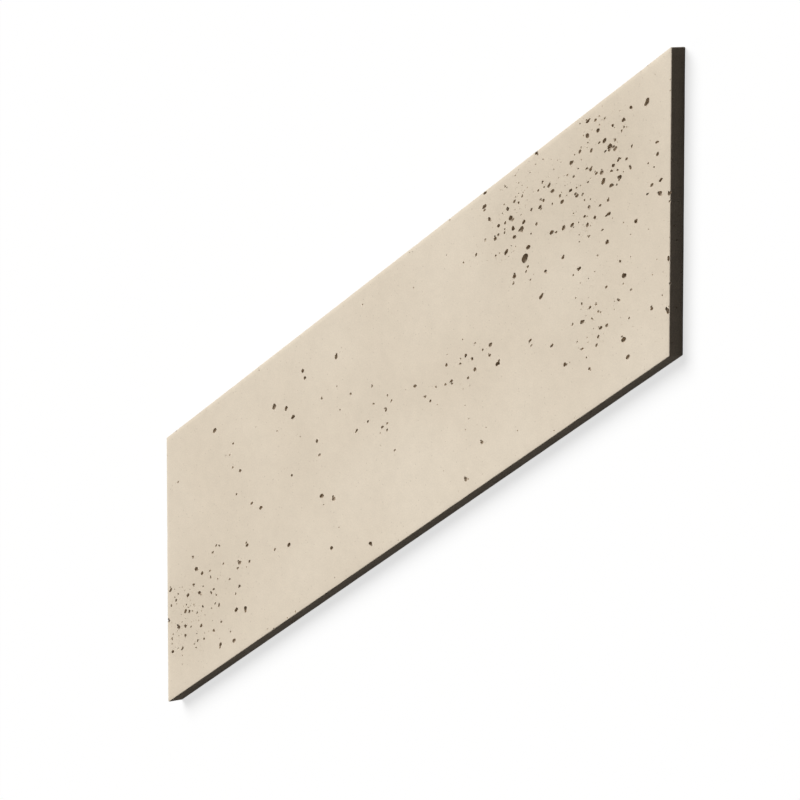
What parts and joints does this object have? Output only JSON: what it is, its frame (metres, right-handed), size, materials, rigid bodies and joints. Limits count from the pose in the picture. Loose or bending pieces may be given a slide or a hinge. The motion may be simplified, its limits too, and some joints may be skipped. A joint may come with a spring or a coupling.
{
  "type": "concrete wall panel",
  "caption": "Flat leaning-parallelogram wall panel of cast concrete with open air pores in its face, glued edge to edge with its mirror image in a chevron pattern.",
  "frame": {"origin": "middle of the panel's box, on its back face", "axes": "+X along the wall, +Y up the wall along the short edges, +Z out of the decorative face; the panel lies on its back"},
  "size_m": [0.5196, 0.4986, 0.013],
  "materials": {
    "concrete": "matte"
  },
  "bodies": {
    "root": {"wall_panel": "concrete"}
  },
  "joints": []
}
